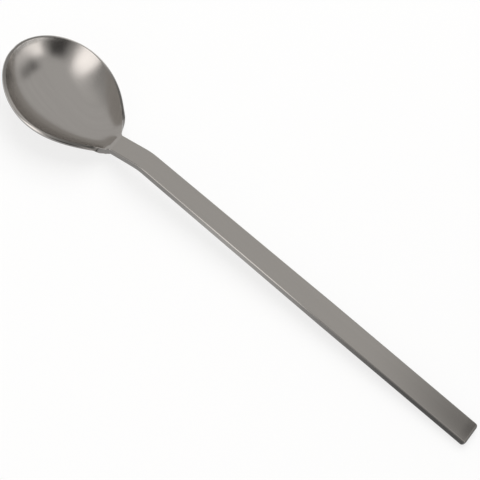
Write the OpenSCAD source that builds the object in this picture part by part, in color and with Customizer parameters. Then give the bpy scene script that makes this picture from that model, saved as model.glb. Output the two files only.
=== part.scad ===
// Long-handled serving spoon: a pressed steel bowl, a flat bar handle with a
// bent neck, and the weld seam that joins the two. All in millimetres.
// The pieces are drawn lying flat: x runs from the seam to the handle end,
// z = 0 is the top face of the straight bar. place() then tilts the spoon so
// that it rests on the bowl and the handle end.

/* [Bowl] */
// Inside length of the bowl, from the tip of the rim to the weld seam
bowl_len = 61.5; // [45:0.1:90]
// Inside width of the bowl at the rim, at its widest
bowl_w = 50; // [36:0.1:70]
// Depth of the bowl below its rim, at half its length
bowl_depth = 13.8; // [8:0.1:20]
// Thickness of the pressed sheet
wall = 2; // [1:0.1:3]
// How flat the bottom is from the tip to the heel: a higher power turns up later
end_power = 3.3; // [2:0.1:4.5]
// How flat the bottom is from side to side: a higher power turns up later
side_power = 2.7; // [2:0.05:3.5]
// How far the widest part of the egg outline is pushed towards the handle
egg_lean = 0.66; // [0:0.01:1.2]
// How pointed the egg outline is towards the handle
egg_taper = 1; // [0.5:0.01:1.2]
// How far the heel of the bowl stands out past the neck on each side
heel_shoulder = 1.1; // [0:0.1:3]
// Length over which the sheet turns and thickens to stand square on the weld seam
heel_blend = 4.5; // [3:0.5:12]
// Height of the rim above the top face of the straight handle
rim_lift = 0.7; // [-3:0.1:4]
// How late the rim dips towards the neck: a higher power dips later
dip_power = 4.3; // [2:0.1:6]
// Rounding of the two edges of the rim
rim_round = 0.8; // [0.2:0.05:0.9]

/* [Handle] */
// Length from the heel of the bowl to the handle end
handle_len = 213; // [120:0.1:280]
// Width of the bar at its free end
end_w = 12; // [8:0.1:18]
// Width of the bar at the neck
neck_w = 10.1; // [7:0.1:14]
// Length from the seam over which the bar widens to its full width
taper_len = 126; // [60:1:200]
// Thickness of the straight bar
bar_t = 4; // [2.5:0.1:6]
// Thickness of the bar where it meets the bowl
neck_t = 3.7; // [2:0.1:5]
// Distance from the seam over which the bar comes up to its full thickness
thin_len = 30; // [26:0.5:40]
// Upward slope of the neck, in degrees
neck_angle = 19.3; // [10:0.1:35]
// Length of the straight neck below the bend, weld seam included
neck_run = 14.4; // [6:0.1:20]
// Radius of the bend, on the top face
bend_r = 20; // [12:0.5:40]
// Rounding of the long edges of the bar
edge_round = 0.6; // [0.2:0.05:0.9]
// Rounding of the edges and corners of the free end
end_round = 1.5; // [0.4:0.1:1.8]

/* [Weld seam] */
// Width of the gap between bowl and handle that the weld fills
seam_w = 1.6; // [0.6:0.1:2.5]
// How far the bead stands out on the underside
seam_crown = 0.4; // [0:0.05:0.8]

/* [Fineness] */
// Steps along each side of the rim
rim_steps = 34; // [16:1:48]
// Steps from the middle of the bowl out to the rim
dish_steps = 12; // [6:1:14]
// Steps across the straight heel of the bowl
heel_steps = 6; // [2:1:8]
// Steps along the neck, the bend and the thinned length of the bar
neck_steps = 24; // [12:1:40]
// Steps in each rounded corner of the bar section
corner_steps = 3; // [2:1:5]
// Steps along the weld seam
seam_steps = 4; // [2:1:6]

/* [Hidden] */
// Step for measuring slopes on the dish
probe = 0.02;
// Share of the bowl length at which the rim starts to dip towards the neck
dip_start = 0.47;
// Angles of the points that round each edge of the rim
rim_arc = [0, 45, 90];
// Rounding of the rim, kept below half the sheet
rim_r = min(rim_round, wall * 0.45);
// Share of the way out to the rim at which the slope of the rim is read
near_rim = 0.999;
// How much closer the rings of the dish lie towards the rim: 1 spaces them evenly
ring_crowding = 1.45;
// Longest egg that is tried, as a multiple of the bowl length, and the tries
longest_egg = 2;
egg_tries = 40;
// Angles of the points that round the free end
end_arc = [0, 30, 60, 90];
// Smallest share of a section's thickness that stays flat between its corners
flat_share = 0.5;
// Bend length along the top face
bend_len = bend_r * neck_angle * PI / 180;
// Height of the seam on the top face
seam_z = -neck_run * sin(neck_angle) - bend_r * (1 - cos(neck_angle));
// Where the straight bar starts
bar_x = neck_run * cos(neck_angle) + bend_r * sin(neck_angle);
// Length of the top face along the path, from the seam to the free end
path_len = neck_run + bend_len + handle_len - bar_x;
// Length along the path that is drawn in short steps
stepped_len = max(thin_len, neck_run + bend_len);
// Where the bar stops widening, kept short of the rounded free end
taper_x = min(taper_len, handle_len - 2 * end_round);
// Fall of the rim from its level part to the neck
rim_fall = rim_lift - seam_z;
steel = [0.62, 0.61, 0.59];
bright_steel = [0.70, 0.69, 0.67];

// Outline of the bowl and the bar seen from above

// Outline of an egg of a whole length, not yet scaled, at a distance q from its tip
function egg_raw(q, whole) =
    sqrt(max(q, 0)) * (1 + egg_lean * q / whole) * pow(max(whole - q, 0), egg_taper);

// Distance from the tip at which an egg is widest, where its slope is zero
function egg_peak(whole) =
    let (b = 0.5 + egg_taper - 1.5 * egg_lean)
    whole / (b + sqrt(b * b + 2 * egg_lean * (1.5 + egg_taper)));

// Half width of an egg at a distance q from its tip
function egg_at(q, whole) =
    bowl_w / 2 * egg_raw(q, whole) / egg_raw(egg_peak(whole), whole);

// Half width of the bar at x
function bar_half(x) = (neck_w + (end_w - neck_w) * min(max(x, 0) / taper_x, 1)) / 2;

// Half width of the bowl where it ends
heel_half = bar_half(0) + heel_shoulder;

// Length at which the egg is as wide as the heel where the bowl ends
function egg_length(short, long, tries) =
    let (mid = (short + long) / 2)
    tries == 0 ? mid
    : egg_at(bowl_len, mid) < heel_half
    ? egg_length(mid, long, tries - 1)
    : egg_length(short, mid, tries - 1);
egg_len = egg_length(bowl_len, bowl_len * longest_egg, egg_tries);

// Half width of the rim at x
function rim_half(x) = egg_at(min(x, 0) + bowl_len, egg_len);

// Height of the dish

// Height of the rim at x
function rim_z(x) =
    let (dip = max((x / bowl_len + 1 - dip_start) / (1 - dip_start), 0))
    rim_lift - rim_fall * pow(dip, dip_power);

// Height of the middle line of the dish at x: a sag below the straight line from
// the tip to the seam
function keel_z(x) =
    let (t = x / bowl_len + 1, sag = bowl_depth - rim_fall / 2)
    rim_lift - rim_fall * t - sag * (1 - pow(abs(2 * t - 1), end_power));

// How quickly the dish rises towards its sides at x
function side_rise(x) =
    let (a = max(x, probe - bowl_len))
    (rim_z(a) - keel_z(a)) / pow(rim_half(a), side_power);

// Height of the inside of the dish at x, y
function dish_z(x, y) = keel_z(x) + side_rise(x) * pow(abs(y), side_power);

function unit(v) = v / norm(v);

// Upward normal of the inside of the dish
function dish_up(x, y) = unit([
    (dish_z(x - probe, y) - dish_z(x + probe, y)) / (2 * probe),
    (dish_z(x, y - probe) - dish_z(x, y + probe)) / (2 * probe),
    1]);

// Points of the bowl

// One side of the rim seen from above, from the tip to the heel
rim_side = [for (i = [0:rim_steps])
    let (x = -bowl_len * (1 + cos(180 * i / rim_steps)) / 2)
    [x, rim_half(x)]];

// The whole outline: one side, across the heel, back along the other side
rim_plan = concat(
    rim_side,
    [for (j = [1:heel_steps - 1]) [0, heel_half * (1 - 2 * j / heel_steps)]],
    [for (i = [rim_steps:-1:1]) [rim_side[i][0], -rim_side[i][1]]]);
around = len(rim_plan);
dish_mid = [-bowl_len / 2, 0];

// Point of the outline drawn in towards the middle of the dish
function drawn_in(i, share) = dish_mid + (rim_plan[i] - dish_mid) * share;

// How far the sheet at x is from being heel: 0 on the seam, 1 out in the dish
function free_share(x) =
    let (q = min(-x / heel_blend, 1))
    q * q * (3 - 2 * q);

// Direction through the sheet, inside to outside: square to the dish, and
// turned square to the neck near the heel
function sheet_down(p) =
    let (w = free_share(p[0]))
    unit([sin(neck_angle), 0, -cos(neck_angle)] * (1 - w) - dish_up(p[0], p[1]) * w);

// Thickness of the sheet at x, which grows to that of the neck on the heel
function sheet_t(x) = neck_t + (wall - neck_t) * free_share(x);

// Point of the inside of the dish above p
function inside(p) = [p[0], p[1], dish_z(p[0], p[1])];

// Direction through the sheet at a point of the rim
function rim_down(i) = sheet_down(drawn_in(i, near_rim));

// Direction up the wall, at right angles to rim_down
function rim_out(i) =
    let (flat = concat(unit(rim_plan[i] - dish_mid), 0), down = rim_down(i))
    unit(flat - down * (flat * down));

// Inner ring of the dish, and the same ring on its outside
function inner_ring(share) = [for (i = [0:around - 1]) inside(drawn_in(i, share))];
function outer_ring(share) = [for (i = [0:around - 1])
    let (p = drawn_in(i, share)) inside(p) + sheet_t(p[0]) * sheet_down(p)];

// Ring over the edge of the rim, at a share of the way through the sheet and a
// distance back from the edge; the rounding fades out to a square edge on the heel
function edge_ring(share, back, rounded) = [for (i = [0:around - 1])
    let (p = rim_plan[i], f = min(max(-p[0] / heel_blend - 1, 0), 1), t = sheet_t(p[0]),
        depth = share < 0.5 ? rounded : t - rounded)
    inside(p) - rim_out(i) * back * f + rim_down(i) * (t * share * (1 - f) + depth * f)];

// Share of the way out to the rim of ring j; the rings lie closer towards the rim
function ring_share(j) = 1 - pow(1 - j / dish_steps, ring_crowding);

edge_count = 2 * len(rim_arc);
edge_rings = concat(
    [for (k = [0:len(rim_arc) - 1])
        edge_ring(k / (edge_count - 1),
            rim_r * (1 - sin(rim_arc[k])), rim_r * (1 - cos(rim_arc[k])))],
    [for (k = [0:len(rim_arc) - 1])
        edge_ring((k + len(rim_arc)) / (edge_count - 1),
            rim_r * (1 - cos(rim_arc[k])), rim_r * (1 - sin(rim_arc[k])))]);

bowl_rings = concat(
    [for (j = [1:dish_steps - 1]) inner_ring(ring_share(j))],
    edge_rings,
    [for (j = [dish_steps - 1:-1:1]) outer_ring(ring_share(j))]);

inner_mid = inside(dish_mid);
outer_mid = inner_mid + sheet_t(dish_mid[0]) * sheet_down(dish_mid);
bowl_points = concat([inner_mid], [for (ring = bowl_rings) each ring], [outer_mid]);

// Points of the bar

// Angle of the top face at a distance along the path from the seam
function path_angle(s) =
    neck_angle * (1 - min(max((s - neck_run) / bend_len, 0), 1));

// Point of the top face at a distance along the path
function path_point(s) =
    s < neck_run
    ? [s * cos(neck_angle), 0, seam_z + s * sin(neck_angle)]
    : s < neck_run + bend_len
    ? [bar_x - bend_r * sin(path_angle(s)), 0, -bend_r * (1 - cos(path_angle(s)))]
    : [bar_x + s - neck_run - bend_len, 0, 0];

// Thickness of the bar at a distance along the path
function path_t(s) =
    let (q = min(max((s - seam_w) / (thin_len - seam_w), 0), 1))
    neck_t + (bar_t - neck_t) * q * q * (3 - 2 * q);

// Rounded section across the path: inset shrinks it on all sides, and flare
// widens it on the left and right
function section(s, thick, inset, flare = 0) =
    let (p = path_point(s), a = path_angle(s),
        r = min(edge_round, (thick - 2 * inset) * (1 - flat_share) / 2),
        half = bar_half(p[0]) + flare - inset - r,
        top = inset + r, low = thick - inset - r)
    [for (c = [0:3], k = [0:corner_steps])
        let (turn = 90 * (c + k / corner_steps),
            y = (c == 0 || c == 3 ? half : -half) + r * cos(turn),
            d = (c < 2 ? top : low) - r * sin(turn))
        p + [d * sin(a), y, -d * cos(a)]];

bar_rings = concat(
    [for (i = [0:neck_steps])
        let (s = seam_w + (stepped_len - seam_w) * i / neck_steps) section(s, path_t(s), 0)],
    [section(path_len - handle_len + taper_x, bar_t, 0)],
    [for (a = end_arc)
        section(path_len - end_round * (1 - sin(a)), bar_t, end_round * (1 - cos(a)))]);

// The weld runs from the wide heel to the narrower bar, with a hollow fillet at
// its sides and a crown below
seam_rings = [for (i = [0:seam_steps])
    let (q = i / seam_steps)
    section(seam_w * q, neck_t + seam_crown * 4 * q * (1 - q), 0,
        heel_shoulder * pow(1 - q, 2))];

// Resting place

// Last line of the flat underside, where the handle end touches the table
foot = [handle_len - end_round, 0, -bar_t];
// Tilt at which the bowl and the handle end both touch the table
rest_tilt = max([for (p = bowl_points) atan2(foot[2] - p[2], foot[0] - p[0])]);
rest_z = foot[0] * sin(rest_tilt) - foot[2] * cos(rest_tilt);

// x of a point after the tilt
function tilted_x(p) = p[0] * cos(rest_tilt) + p[2] * sin(rest_tilt);
front_x = min([for (p = bowl_points) tilted_x(p)]);
back_x = max([for (p = bar_rings[len(bar_rings) - 1]) tilted_x(p)]);

// Lays a piece on the table, with the spoon centred over the origin
module place() {
    translate([-(front_x + back_x) / 2, 0, rest_z])
        rotate([0, rest_tilt, 0])
            children();
}

// Solid skinned over rings of equal point count, flat at both ends
module skin(rings) {
    n = len(rings[0]);
    last = len(rings) - 1;
    polyhedron(
        points = [for (ring = rings) each ring],
        faces = concat(
            [[for (i = [n - 1:-1:0]) i]],
            [for (k = [0:last - 1], i = [0:n - 1])
                let (a = k * n + i, b = k * n + (i + 1) % n)
                each [[a, b, b + n], [a, b + n, a + n]]],
            [[for (i = [0:n - 1]) last * n + i]]),
        convexity = 4);
}

// Solid skinned over closed rings between two middle points, the same on its
// left and right
module shell(points, rings) {
    low = rings * around + 1;
    polyhedron(
        points = points,
        faces = concat(
            [for (i = [0:around - 1]) [0, 1 + i, 1 + (i + 1) % around]],
            [for (k = [0:rings - 2], i = [0:around - 1])
                let (a = 1 + k * around + i, b = 1 + k * around + (i + 1) % around)
                each norm(points[a] - points[b + around]) < norm(points[b] - points[a + around])
                ? [[a, a + around, b + around], [a, b + around, b]]
                : [[a, a + around, b], [b, a + around, b + around]]],
            [for (i = [0:around - 1])
                [low, low - around + (i + 1) % around, low - around + i]]),
        convexity = 8);
}

// Pressed sheet bowl with a short straight heel for the weld
module bowl() {
    color(steel)
        place()
            shell(bowl_points, len(bowl_rings));
}

// Flat bar with a bent neck
module handle() {
    color(steel)
        place()
            skin(bar_rings);
}

// Weld across the neck, flush on top and standing slightly proud below
module weld_seam() {
    color(bright_steel)
        place()
            skin(seam_rings);
}

bowl();
weld_seam();
handle();
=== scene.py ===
import math

import bmesh
import bpy
import numpy as np
from mathutils import Matrix, Vector


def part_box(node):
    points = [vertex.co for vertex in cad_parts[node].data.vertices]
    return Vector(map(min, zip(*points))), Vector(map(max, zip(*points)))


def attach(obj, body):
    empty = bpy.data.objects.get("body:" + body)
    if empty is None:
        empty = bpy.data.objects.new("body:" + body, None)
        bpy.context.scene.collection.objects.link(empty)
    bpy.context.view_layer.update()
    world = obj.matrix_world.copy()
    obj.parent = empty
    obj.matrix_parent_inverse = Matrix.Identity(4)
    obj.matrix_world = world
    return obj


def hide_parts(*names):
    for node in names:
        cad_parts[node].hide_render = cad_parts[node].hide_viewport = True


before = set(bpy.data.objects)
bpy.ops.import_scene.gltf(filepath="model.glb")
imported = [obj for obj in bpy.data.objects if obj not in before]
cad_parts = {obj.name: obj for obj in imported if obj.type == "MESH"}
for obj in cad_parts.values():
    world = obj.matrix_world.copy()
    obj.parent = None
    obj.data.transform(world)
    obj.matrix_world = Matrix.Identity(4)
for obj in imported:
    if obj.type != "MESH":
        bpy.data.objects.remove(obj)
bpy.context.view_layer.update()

# Sizes of the spoon, in millimetres, as in the part
BOWL_LEN, BOWL_W, BOWL_DEPTH, WALL, HEEL_SHOULDER = 61.5, 50.0, 13.8, 2.0, 1.1
END_POWER, SIDE_POWER = 3.3, 2.7
EGG_LEAN, EGG_TAPER, HEEL_BLEND = 0.66, 1.0, 4.5
RIM_LIFT, DIP_START, DIP_POWER = 0.7, 0.47, 4.3
RIM_IN, RIM_OUT = 0.4, 1.2
HANDLE_LEN, END_W, NECK_W, BAR_T, NECK_T = 213.0, 12.0, 10.1, 4.0, 3.7
TAPER_LEN = 126.0
THIN_LEN, NECK_ANGLE, NECK_RUN, BEND_R = 30.0, math.radians(19.3), 14.4, 20.0
EDGE_ROUND, END_ROUND, SEAM_W, SEAM_CROWN = 0.6, 1.5, 1.6, 0.4

# Fineness of the meshes
RIM_STEPS, HEEL_STEPS, DISH_STEPS, ARC_STEPS = 100, 24, 40, 6
NECK_STEPS, BAR_STEPS, CORNER_STEPS, CAP_STEPS = 60, 40, 6, 8
SEAM_STEPS, FOOT_STEPS, PATCH_STEPS = 8, 800, 12
RING_CROWDING, JUST_INSIDE = 1.15, 0.999

# Painted shade (a darker colour, also a little rougher) on the lower outer rim, the heel, the tip, the bar's
# end, its narrow sides and its edges outside the middle, and wear of the rim and the bar, from 0 to 1, and
# the stretches of x over which they come in
LOW_RIM_SHADE, HEEL_SHADE, TIP_SHADE, BAR_END_SHADE = 0.7, 0.72, 0.5, 0.85
NECK_SIDE_SHADE, MID_SIDE_SHADE, END_SIDE_SHADE = 0.7, 0.5, 1.0
EDGE_SHADE, OUTER_EDGE_SHADE, CORNER_RIM_WEAR = 0.3, 0.6, 0.4
TO_HEEL, TO_TIP, TO_MID, TO_END = (-34, -12), (-44, -58), (30, 60), (60, 190)
# Stretches of x where the edges' painted shade goes away, and where it comes back
INTO_UNSHADED_EDGES, OUT_OF_UNSHADED_EDGES = (45, 68), (98, 125)
ONTO_LOW_RIM = (0.25, 0.6)  # shares of the way round the outer edge
ONTO_BAR_END = (HANDLE_LEN - 0.9 * END_ROUND, HANDLE_LEN - 0.4 * END_ROUND)

BEND_LEN = BEND_R * NECK_ANGLE
SEAM_Z = -NECK_RUN * math.sin(NECK_ANGLE) - BEND_R * (1 - math.cos(NECK_ANGLE))
BAR_X = NECK_RUN * math.cos(NECK_ANGLE) + BEND_R * math.sin(NECK_ANGLE)
PATH_LEN = NECK_RUN + BEND_LEN + HANDLE_LEN - BAR_X
RIM_FALL = RIM_LIFT - SEAM_Z
HEEL_HALF = NECK_W / 2 + HEEL_SHOULDER
PROBE, FOOT_GAP = 0.02, 0.05


# Shape of the dish

def egg_raw(q, whole):
    return (np.sqrt(np.maximum(q, 0)) * (1 + EGG_LEAN * q / whole)
            * np.maximum(whole - q, 0) ** EGG_TAPER)


def egg_peak(whole):
    b = 0.5 + EGG_TAPER - 1.5 * EGG_LEAN
    return whole / (b + math.sqrt(b * b + 2 * EGG_LEAN * (1.5 + EGG_TAPER)))


def egg_at(q, whole):
    return BOWL_W / 2 * egg_raw(q, whole) / egg_raw(egg_peak(whole), whole)


def egg_length():
    """Length at which the egg is as wide as the heel where the bowl ends."""
    short, long = BOWL_LEN, BOWL_LEN * 2
    for _ in range(50):
        mid = (short + long) / 2
        if egg_at(BOWL_LEN, mid) < HEEL_HALF:
            short = mid
        else:
            long = mid
    return mid


EGG_LEN = egg_length()


def rim_half(x):
    return egg_at(np.minimum(x, 0) + BOWL_LEN, EGG_LEN)


def rim_z(x):
    return RIM_LIFT - RIM_FALL * np.maximum((x / BOWL_LEN + 1 - DIP_START) / (1 - DIP_START), 0) ** DIP_POWER


def keel_z(x):
    t = x / BOWL_LEN + 1
    sag = BOWL_DEPTH - RIM_FALL / 2
    return RIM_LIFT - RIM_FALL * t - sag * (1 - np.abs(2 * t - 1) ** END_POWER)


def dish_z(x, y):
    a = np.maximum(x, PROBE - BOWL_LEN)
    return keel_z(x) + (rim_z(a) - keel_z(a)) * (np.abs(y) / rim_half(a)) ** SIDE_POWER


def unit(v):
    return v / np.linalg.norm(v, axis=-1, keepdims=True)


def dish_up(p):
    x, y = p[:, 0], p[:, 1]
    gx = (dish_z(x - PROBE, y) - dish_z(x + PROBE, y)) / (2 * PROBE)
    gy = (dish_z(x, y - PROBE) - dish_z(x, y + PROBE)) / (2 * PROBE)
    return unit(np.stack([gx, gy, np.ones_like(gx)], -1))


def free_share(p):
    """How far the sheet is from being heel: 0 on the seam, 1 out in the dish."""
    q = np.clip(-p[:, :1] / HEEL_BLEND, 0, 1)
    return q * q * (3 - 2 * q)


def sheet_down(p):
    """Direction through the sheet, turned square to the neck near the heel."""
    w = free_share(p)
    heel = np.array([math.sin(NECK_ANGLE), 0, -math.cos(NECK_ANGLE)])
    return unit(heel * (1 - w) - dish_up(p) * w)


def sheet_t(p):
    """Thickness of the sheet, which grows to that of the neck on the heel."""
    return NECK_T + (WALL - NECK_T) * free_share(p)


def inside(p):
    return np.stack([p[:, 0], p[:, 1], dish_z(p[:, 0], p[:, 1])], -1)


def outside(p):
    return inside(p) + sheet_t(p) * sheet_down(p)


def ease(x, start, end):
    q = np.clip((x - start) / (end - start), 0, 1)
    return q * q * (3 - 2 * q)


def bowl_rings():
    """Rings over the bowl from the middle of its inside to the middle of its outside, with how worn their
    points are and how much painted shade they carry, which also makes them rougher."""
    turn = np.linspace(0, math.pi, RIM_STEPS + 1)
    x = -BOWL_LEN * (1 + np.cos(turn)) / 2
    side = np.stack([x, rim_half(x)], -1)
    across = HEEL_HALF * (1 - 2 * np.arange(1, HEEL_STEPS) / HEEL_STEPS)
    heel = np.stack([np.zeros_like(across), across], -1)
    plan = np.concatenate([side, heel, side[:0:-1] * (1, -1)])
    mid = np.array([-BOWL_LEN / 2, 0.0])

    def drawn_in(share):
        return mid + (plan - mid) * share

    down = sheet_down(drawn_in(JUST_INSIDE))
    flat = np.concatenate([unit(plan - mid), np.zeros((len(plan), 1))], 1)
    out = unit(flat - down * (flat * down).sum(1, keepdims=True))
    fade = np.clip(-plan[:, :1] / HEEL_BLEND - 1, 0, 1)
    # Painted shade on the rim's edge near the heel and near the tip
    painted_dark = HEEL_SHADE * ease(plan[:, 0], *TO_HEEL) + TIP_SHADE * ease(plan[:, 0], *TO_TIP)
    top, thick = inside(plan), sheet_t(plan)
    rings, worn, painted_shade = [], [], []
    shares = 1 - (1 - np.arange(1, DISH_STEPS) / DISH_STEPS) ** RING_CROWDING
    for s in shares:
        rings.append(inside(drawn_in(s)))
        worn.append(0.0)
        painted_shade.append(np.zeros(len(plan)))
    count = 2 * (ARC_STEPS + 1)
    for k in range(count):
        a = math.pi / 2 * (k % (ARC_STEPS + 1)) / ARC_STEPS
        if k <= ARC_STEPS:
            back, depth = RIM_IN * (1 - math.sin(a)), RIM_IN * (1 - math.cos(a))
        else:
            back, depth = RIM_OUT * (1 - math.cos(a)), thick - RIM_OUT * (1 - math.sin(a))
        straight = thick * k / (count - 1)
        rings.append(top - out * back * fade + down * (straight * (1 - fade) + depth * fade))
        edge = 0 < k < count - 1
        worn.append(1.0 if edge else 0.5)
        outer = max(k - ARC_STEPS - 1, 0) / ARC_STEPS
        # Painted shade on the lower part of the rim's outer rounding
        low_edge = LOW_RIM_SHADE * ease(outer, *ONTO_LOW_RIM)
        painted_shade.append(np.maximum(low_edge, painted_dark) * edge)
    # The two outermost rings would lie within the outer rounding of the rim
    for s in shares[-3::-1]:
        rings.append(outside(drawn_in(s)))
        worn.append(0.0)
        painted_shade.append(np.zeros(len(plan)))
    return rings, worn, painted_shade, inside(mid[None])[0], outside(mid[None])[0]


# Shape of the bar

def path_angle(s):
    return NECK_ANGLE * (1 - min(max((s - NECK_RUN) / BEND_LEN, 0), 1))


def path_point(s):
    a = path_angle(s)
    if s < NECK_RUN:
        return np.array([s * math.cos(a), 0, SEAM_Z + s * math.sin(a)])
    if s < NECK_RUN + BEND_LEN:
        return np.array([BAR_X - BEND_R * math.sin(a), 0, -BEND_R * (1 - math.cos(a))])
    return np.array([BAR_X + s - NECK_RUN - BEND_LEN, 0, 0])


def path_t(s):
    q = min(max((s - SEAM_W) / (THIN_LEN - SEAM_W), 0), 1)
    return NECK_T + (BAR_T - NECK_T) * q * q * (3 - 2 * q)


def bar_half(x):
    return (NECK_W + (END_W - NECK_W) * min(max(x, 0) / TAPER_LEN, 1)) / 2


def section(s, thick, inset, flare=0):
    p, a = path_point(s), path_angle(s)
    r = min(EDGE_ROUND, (thick - 2 * inset) / 4)
    half = bar_half(p[0]) + flare - inset - r
    top, low = inset + r, thick - inset - r
    ring = []
    for c in range(4):
        for k in range(CORNER_STEPS + 1):
            turn = math.pi / 2 * (c + k / CORNER_STEPS)
            y = (half if c in (0, 3) else -half) + r * math.cos(turn)
            d = (top if c < 2 else low) - r * math.sin(turn)
            ring.append(p + np.array([d * math.sin(a), y, -d * math.cos(a)]))
    return np.array(ring)


def bar_rings():
    rings = []
    for s in np.linspace(SEAM_W, THIN_LEN, NECK_STEPS + 1):
        rings.append(section(s, path_t(s), 0))
    for s in np.linspace(THIN_LEN, PATH_LEN - END_ROUND, BAR_STEPS + 1)[1:-1]:
        rings.append(section(s, BAR_T, 0))
    for a in np.linspace(0, math.pi / 2, CAP_STEPS + 1):
        rings.append(section(PATH_LEN - END_ROUND * (1 - math.sin(a)), BAR_T, END_ROUND * (1 - math.cos(a))))
    return rings


def seam_rings():
    rings = []
    for q in np.linspace(0, 1, SEAM_STEPS + 1):
        bulge = SEAM_CROWN * 4 * q * (1 - q)
        flare = HEEL_SHOULDER * (1 - q) ** 2
        rings.append(section(SEAM_W * q, NECK_T + bulge, 0, flare))
    return rings


# From the lying-flat drawing to the place on the table, in metres

def resting_place():
    x = np.linspace(FOOT_GAP - BOWL_LEN, -FOOT_GAP, FOOT_STEPS)
    low = outside(np.stack([x, np.zeros_like(x)], -1))
    foot_x, foot_z = HANDLE_LEN - END_ROUND, -BAR_T
    tilt = np.max(np.arctan2(foot_z - low[:, 2], foot_x - low[:, 0]))
    rest_z = foot_x * math.sin(tilt) - foot_z * math.cos(tilt)
    end_x = HANDLE_LEN * math.cos(tilt) - END_ROUND * math.sin(tilt)
    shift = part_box("handle")[1].x * 1000 - end_x
    turn = np.array(Matrix.Rotation(tilt, 3, "Y"))
    return turn, np.array([shift, 0, rest_z])


TURN, SHIFT = resting_place()


def placed(p):
    return (np.asarray(p) @ TURN.T + SHIFT) / 1000


def add_piece(name, points, faces, worn, painted_shade, sharp_deg=40):
    """A smooth mesh with its grain laid along the spoon: u across the grain, v along it."""
    mesh = bpy.data.meshes.new(name)
    mesh.from_pydata(placed(points).tolist(), [], faces)
    obj = bpy.data.objects.new(name, mesh)
    bpy.context.scene.collection.objects.link(obj)
    bm = bmesh.new()
    bm.from_mesh(mesh)
    bmesh.ops.recalc_face_normals(bm, faces=bm.faces)
    for f in bm.faces:
        f.smooth = True
    for e in bm.edges:
        e.smooth = len(e.link_faces) == 2 and e.calc_face_angle(0) < math.radians(sharp_deg)
    bm.to_mesh(mesh)
    bm.free()
    grain = mesh.uv_layers.new(name="grain")
    points = np.asarray(points)
    for loop in mesh.loops:
        p = points[loop.vertex_index]
        grain.data[loop.index].uv = ((p[1] - p[2]) / 100, p[0] / 100)
    # Each point's wear and painted shade, which the steel's shader reads
    for key, values in (("worn", worn), ("painted_shade", painted_shade)):
        layer = mesh.attributes.new(key, "FLOAT", "POINT")
        layer.data.foreach_set("value", np.asarray(values, np.float32))
    return obj


def ring_faces(first, n, rings):
    faces = []
    for k in range(rings - 1):
        for i in range(n):
            a, b = first + k * n + i, first + k * n + (i + 1) % n
            faces.append((a, b, b + n, a + n))
    return faces


def make_bowl():
    rings, worn, painted_shade, middle, low = bowl_rings()
    n = len(rings[0])
    points = np.concatenate([middle[None], *rings, low[None]])
    faces = [(0, 1 + (i + 1) % n, 1 + i) for i in range(n)]
    faces += [f[::-1] for f in ring_faces(1, n, len(rings))]
    last = len(points) - 1
    faces += [(last, last - n + i, last - n + (i + 1) % n) for i in range(n)]
    wear = np.concatenate([[0], np.repeat(worn, n), [0]])
    # Painted shade of each point, none at the two poles
    painted_dark = np.concatenate([[0], *painted_shade, [0]])
    return add_piece("spoon_bowl", points, faces, wear, painted_dark)


def make_bar(name, rings):
    """A bar with painted shade on its end, on its narrow sides, most towards the end, and on its edges
    outside the middle, all of which are a little rougher too.
    """
    n = len(rings[0])
    points = np.concatenate(rings)
    faces = ring_faces(0, n, len(rings))
    faces.append(tuple(range(n - 1, -1, -1)))
    faces.append(tuple(range(len(points) - n, len(points))))
    corner = np.ones(n)
    corner[::CORNER_STEPS + 1] = CORNER_RIM_WEAR
    corner[CORNER_STEPS::CORNER_STEPS + 1] = CORNER_RIM_WEAR
    steps = np.arange(CORNER_STEPS + 1) / CORNER_STEPS
    turn = math.pi / 2 * (np.arange(4)[:, None] + steps).ravel()
    side = np.tile(np.cos(turn) ** 8, len(rings))
    edge = np.tile(np.sin(2 * turn) ** 2, len(rings))
    x = points[:, 0]
    outwards = ease(x, *OUT_OF_UNSHADED_EDGES)
    edges_unshaded = ease(x, *INTO_UNSHADED_EDGES) * (1 - outwards)
    # Painted shade: on the narrow sides, lighter in the middle and darkest towards the end, and on the
    # edges, left off in the middle
    side_shade = (NECK_SIDE_SHADE + (MID_SIDE_SHADE - NECK_SIDE_SHADE) * ease(x, *TO_MID)
                 + (END_SIDE_SHADE - MID_SIDE_SHADE) * ease(x, *TO_END))
    edge_shade = (EDGE_SHADE + (OUTER_EDGE_SHADE - EDGE_SHADE) * outwards) * (1 - edges_unshaded)
    painted_dark = np.maximum(side * side_shade + edge * edge_shade, BAR_END_SHADE * ease(x, *ONTO_BAR_END))
    return add_piece(name, points, faces, np.tile(corner, len(rings)), np.minimum(painted_dark, 1))


# Brushed steel: shades of its tint, one of them painted shade, shares of them, changes of roughness and the
# depth of the grain

GRAIN_DARK, GRAIN_LIGHT, WORN_LIGHT, PAINTED_SHADE_DARK = 0.93, 1.07, 1.12, 0.1
FINE_SHARE, BROAD_SHARE, WORN_SHARE = 0.6, 0.4, 0.8
WORN_SMOOTHER, DULL_ROUGHER, STRETCH = 0.06, 0.08, 0.6
GRAIN_STRENGTH, GRAIN_M = 0.12, 0.00002


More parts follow.
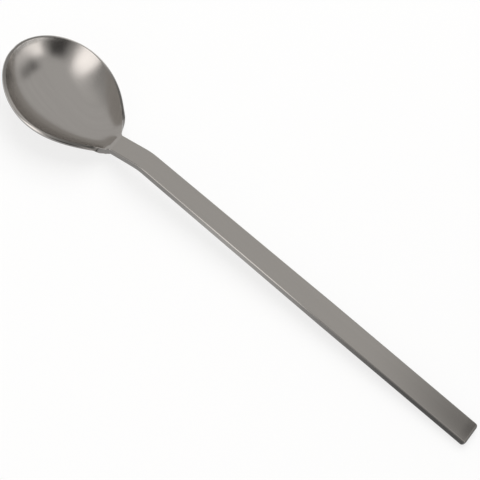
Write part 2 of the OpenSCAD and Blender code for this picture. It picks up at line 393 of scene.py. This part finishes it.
def brushed_steel(name, tint, rough, streak):
    """Steel with a grain along the spoon, lighter and smoother where worn, and darker with painted shade,
    and rougher, where the mesh marks it.
    """
    mat = bpy.data.materials.new(name)
    mat.use_nodes = True
    nt = mat.node_tree
    bsdf = nt.nodes["Principled BSDF"]
    bsdf.inputs["Metallic"].default_value = 1.0
    bsdf.inputs["Anisotropic"].default_value = STRETCH

    def node(kind, **values):
        made = nt.nodes.new(kind)
        for key, value in values.items():
            setattr(made, key, value)
        return made

    def math_node(op, a, b):
        made = node("ShaderNodeMath", operation=op)
        for socket, value in zip(made.inputs, (a, b)):
            if isinstance(value, (int, float)):
                socket.default_value = value
            else:
                nt.links.new(value, socket)
        return made.outputs[0]

    tangent = node("ShaderNodeTangent", direction_type="UV_MAP", uv_map="grain")
    nt.links.new(tangent.outputs[0], bsdf.inputs["Tangent"])
    uv = node("ShaderNodeUVMap", uv_map="grain")

    def shade(share):
        return (*[min(c * share, 1) for c in tint], 1)

    def grain(across, along, detail):
        mapping = node("ShaderNodeMapping")
        mapping.inputs["Scale"].default_value = (across, along, 1)
        noise = node("ShaderNodeTexNoise", noise_dimensions="2D")
        noise.inputs["Scale"].default_value = 1
        noise.inputs["Detail"].default_value = detail
        nt.links.new(uv.outputs[0], mapping.inputs[0])
        nt.links.new(mapping.outputs[0], noise.inputs["Vector"])
        return noise.outputs[0]

    fine = grain(420, 3.0, 3)
    broad = grain(60, 1.2, 2)
    worn = node("ShaderNodeAttribute", attribute_name="worn").outputs["Fac"]

    mix = node("ShaderNodeMix", data_type="RGBA")
    mix.inputs["A"].default_value = shade(GRAIN_DARK)
    mix.inputs["B"].default_value = shade(GRAIN_LIGHT)
    both = math_node("ADD", math_node("MULTIPLY", fine, FINE_SHARE),
                     math_node("MULTIPLY", broad, BROAD_SHARE))
    nt.links.new(both, mix.inputs["Factor"])
    wear = node("ShaderNodeMix", data_type="RGBA")
    wear.inputs["B"].default_value = shade(WORN_LIGHT)
    nt.links.new(mix.outputs["Result"], wear.inputs["A"])
    nt.links.new(math_node("MULTIPLY", worn, WORN_SHARE), wear.inputs["Factor"])
    # Painted shade: the colour goes towards a tenth of the tint where the mesh's shade attribute says, and
    # the roughness goes up there
    painted_shade = node("ShaderNodeAttribute", attribute_name="painted_shade").outputs["Fac"]
    painted_dark = node("ShaderNodeMix", data_type="RGBA")
    painted_dark.inputs["B"].default_value = shade(PAINTED_SHADE_DARK)
    nt.links.new(wear.outputs["Result"], painted_dark.inputs["A"])
    nt.links.new(painted_shade, painted_dark.inputs["Factor"])
    nt.links.new(painted_dark.outputs["Result"], bsdf.inputs["Base Color"])

    r = math_node("ADD", rough - streak / 2, math_node("MULTIPLY", fine, streak))
    r = math_node("SUBTRACT", r, math_node("MULTIPLY", worn, WORN_SMOOTHER))
    r = math_node("ADD", r, math_node("MULTIPLY", painted_shade, DULL_ROUGHER))
    nt.links.new(r, bsdf.inputs["Roughness"])

    bump = node("ShaderNodeBump")
    bump.inputs["Strength"].default_value = GRAIN_STRENGTH
    bump.inputs["Distance"].default_value = GRAIN_M
    nt.links.new(fine, bump.inputs["Height"])
    nt.links.new(bump.outputs[0], bsdf.inputs["Normal"])
    return mat


STEEL, BAR_STEEL = (0.612, 0.588, 0.565), (0.578, 0.554, 0.527)
bowl = make_bowl()
bowl.data.materials.append(brushed_steel("bowl_steel", STEEL, 0.20, 0.05))
handle = make_bar("spoon_handle", bar_rings())
handle.data.materials.append(brushed_steel("handle_steel", BAR_STEEL, 0.22, 0.06))
seam = make_bar("spoon_weld_seam", seam_rings())
seam.data.materials.append(brushed_steel("seam_steel", STEEL, 0.24, 0.06))
for piece, cad_node, slot in ((bowl, "bowl", "bowl_steel"), (handle, "handle", "handle_steel"),
                              (seam, "weld_seam", "seam_steel")):
    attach(piece, "root")
    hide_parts(cad_node)


# Floor, light and camera

def floor_material(name, color, glow):
    """A pale floor that is partly white by itself where the camera, metal or glass sees it."""
    mat = bpy.data.materials.new(name)
    mat.use_nodes = True
    nt = mat.node_tree
    bsdf = nt.nodes["Principled BSDF"]
    bsdf.inputs["Base Color"].default_value = (*color, 1)
    bsdf.inputs["Roughness"].default_value = 1.0
    bsdf.inputs["Specular IOR Level"].default_value = 0.0
    path = nt.nodes.new("ShaderNodeLightPath")
    seen = path.outputs["Is Camera Ray"]
    for output in ("Is Glossy Ray", "Is Transmission Ray"):
        either = nt.nodes.new("ShaderNodeMath")
        either.operation = "MAXIMUM"
        nt.links.new(seen, either.inputs[0])
        nt.links.new(path.outputs[output], either.inputs[1])
        seen = either.outputs[0]
    share = nt.nodes.new("ShaderNodeMath")
    share.operation = "MULTIPLY"
    share.inputs[1].default_value = glow
    nt.links.new(seen, share.inputs[0])
    white = nt.nodes.new("ShaderNodeEmission")
    mix = nt.nodes.new("ShaderNodeMixShader")
    nt.links.new(share.outputs[0], mix.inputs[0])
    nt.links.new(bsdf.outputs[0], mix.inputs[1])
    nt.links.new(white.outputs[0], mix.inputs[2])
    nt.links.new(mix.outputs[0], nt.nodes["Material Output"].inputs["Surface"])
    return mat


def patch_material(name, radiance, fades):
    """Even light that fades out towards the left, right, lower and upper edge of a patch."""
    mat = bpy.data.materials.new(name)
    mat.use_nodes = True
    nt = mat.node_tree
    nt.nodes.remove(nt.nodes["Principled BSDF"])
    split = nt.nodes.new("ShaderNodeSeparateXYZ")
    nt.links.new(nt.nodes.new("ShaderNodeUVMap").outputs[0], split.inputs[0])
    left, right, lower, upper = fades
    solid = None
    for axis, start, end in (("X", 0, left), ("X", 1, 1 - right), ("Y", 0, lower), ("Y", 1, 1 - upper)):
        fade = nt.nodes.new("ShaderNodeMapRange")
        fade.interpolation_type = "SMOOTHSTEP"
        fade.inputs["From Min"].default_value = start
        fade.inputs["From Max"].default_value = end
        nt.links.new(split.outputs[axis], fade.inputs["Value"])
        if solid is None:
            solid = fade.outputs["Result"]
            continue
        both = nt.nodes.new("ShaderNodeMath")
        both.operation = "MULTIPLY"
        nt.links.new(solid, both.inputs[0])
        nt.links.new(fade.outputs["Result"], both.inputs[1])
        solid = both.outputs[0]
    light = nt.nodes.new("ShaderNodeEmission")
    light.inputs["Color"].default_value = (*WINDOW_COLOR, 1)
    light.inputs["Strength"].default_value = radiance
    mix = nt.nodes.new("ShaderNodeMixShader")
    nt.links.new(solid, mix.inputs[0])
    nt.links.new(nt.nodes.new("ShaderNodeBsdfTransparent").outputs[0], mix.inputs[1])
    nt.links.new(light.outputs[0], mix.inputs[2])
    nt.links.new(mix.outputs[0], nt.nodes["Material Output"].inputs["Surface"])
    return mat


def add_patch(name, centre, distance, corners, radiance, fades):
    """A soft-edged patch of a sphere, light or dark, around a point. Its corners run from the lower left
    to the upper left as azimuth and elevation from there: azimuth 0 is towards -Y, 90 towards +X."""
    n = PATCH_STEPS + 1
    share = np.linspace(0, 1, n)
    i, j = (g.ravel()[:, None] for g in np.meshgrid(share, share))
    a, b, c, d = np.array(corners, float)
    az, el = np.radians((a * (1 - i) + b * i) * (1 - j) + (d * (1 - i) + c * i) * j).T
    away = np.stack([np.sin(az) * np.cos(el), -np.cos(az) * np.cos(el), np.sin(el)], -1)
    faces = [(k, k + 1, k + 1 + n, k + n) for k in range(n * (n - 1)) if k % n < n - 1]
    mesh = bpy.data.meshes.new(name)
    mesh.from_pydata((np.array(centre) + distance * away).tolist(), [], faces)
    spread = mesh.uv_layers.new(name="spread")
    for loop in mesh.loops:
        spread.data[loop.index].uv = i[loop.vertex_index, 0], j[loop.vertex_index, 0]
    mesh.materials.append(patch_material(name, radiance, fades))
    obj = bpy.data.objects.new(name, mesh)
    bpy.context.scene.collection.objects.link(obj)
    obj.visible_camera = obj.visible_shadow = False


def facing(place, towards):
    back = (Vector(place) - Vector(towards)).normalized()
    return Matrix.Translation(place) @ back.to_track_quat("Z", "Y").to_matrix().to_4x4()


def add_lamp(name, place, towards, width, height, radiance):
    light = bpy.data.lights.new(name, "AREA")
    light.shape = "RECTANGLE"
    light.size, light.size_y = width, height
    light.energy = math.pi * width * height * radiance
    obj = bpy.data.objects.new(name, light)
    bpy.context.scene.collection.objects.link(obj)
    obj.matrix_world = facing(place, towards)
    obj.visible_camera = False
    return obj


def studio_world(room, front):
    """A soft even room, dimmer low down in front of the spoon, a little towards its handle."""
    world = bpy.data.worlds.new("studio")
    bpy.context.scene.world = world
    world.use_nodes = True
    nt = world.node_tree
    background = nt.nodes["Background"]
    background.inputs["Color"].default_value = (*ROOM_COLOR, 1)
    away = nt.nodes.new("ShaderNodeVectorMath")
    away.operation = "DOT_PRODUCT"
    away.inputs[1].default_value = AWAY_FROM_DIM
    nt.links.new(nt.nodes.new("ShaderNodeTexCoord").outputs["Generated"], away.inputs[0])
    fall = nt.nodes.new("ShaderNodeMapRange")
    fall.interpolation_type = "SMOOTHSTEP"
    for socket, value in (("From Min", -0.6), ("From Max", -0.1), ("To Min", front), ("To Max", room)):
        fall.inputs[socket].default_value = value
    nt.links.new(away.outputs["Value"], fall.inputs["Value"])
    nt.links.new(fall.outputs["Result"], background.inputs["Strength"])


def add_floor(half, drop):
    mesh = bpy.data.meshes.new("floor")
    corners = [(-half, -half, 0), (half, -half, 0), (half, half, 0), (-half, half, 0)]
    mesh.from_pydata(corners, [], [(0, 1, 2, 3)])
    mesh.materials.append(floor_material("floor", FLOOR_COLOR, FLOOR_GLOW))
    floor = bpy.data.objects.new("floor", mesh)
    bpy.context.scene.collection.objects.link(floor)
    floor.location.z = -drop


FLOOR_COLOR, ROOM_COLOR, WINDOW_COLOR = (0.95, 0.95, 0.95), (1.0, 0.985, 0.96), (1.0, 0.968, 0.945)
FLOOR_GLOW, AWAY_FROM_DIM = 0.73, (-0.2, 0.83, 0.52)
BOWL_MID = Vector((-0.1065, 0, 0.012))
BAR_END = Vector((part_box("handle")[1].x, 0, 0))

add_floor(6, 0.0001)
studio_world(0.48, 0.29)
key = add_lamp("back_key", (-0.5, 1.0, 2.2), (0, 0, 0), 3.0, 2.6, 2.0)
key.visible_glossy = False
add_patch("front_window", BOWL_MID, 1.0, [(-24, 2), (29, 2), (21, 73), (12, 73)],
          1.55, (0.06, 0.55, 0.05, 0.64))
add_patch("right_window", BOWL_MID, 1.6, [(66, 2), (140, 2), (116, 34), (70, 42)],
          1.3, (0.2, 0.78, 0.05, 0.5))
add_patch("dark_right", BOWL_MID, 1.3, [(25, 1), (70, 1), (65, 46), (28, 48)],
          0.05, (0.3, 0.35, 0.05, 0.45))
add_patch("dark_end", BAR_END, 0.36, [(100, 20), (189, 20), (189, 82), (100, 82)],
          0.11, (0.68, 0.38, 0.55, 0.45))

# The camera looks at a point of the lying-flat drawing, in millimetres, turned by angles in radians
ELEV, SIDE, ROLL, FAR = 1.0460, 0.0094, math.radians(39.82) - 0.0027, 1125.6
AIM, PX_PER_MM, PICTURE_PX, SENSOR_MM = (73.94, -0.537, 0), 2.1791, 480, 36
cam = bpy.data.objects.new("camera", bpy.data.cameras.new("camera"))
bpy.context.scene.collection.objects.link(cam)
bpy.context.scene.camera = cam
back = np.array([math.sin(SIDE) * math.cos(ELEV), -math.cos(SIDE) * math.cos(ELEV), math.sin(ELEV)])
right = np.array([math.cos(SIDE), math.sin(SIDE), 0])
up = np.cross(back, right)
axes = np.stack([math.cos(ROLL) * right + math.sin(ROLL) * up,
                 math.cos(ROLL) * up - math.sin(ROLL) * right, back], 1)
spot = placed(np.array(AIM) + back * FAR)
cam.matrix_world = Matrix.Translation(spot.tolist()) @ Matrix((TURN @ axes).tolist()).to_4x4()
cam.data.sensor_width = SENSOR_MM
cam.data.lens = PX_PER_MM * FAR / PICTURE_PX * SENSOR_MM
cam.data.clip_end = 20

bpy.context.scene.view_settings.view_transform = "Standard"
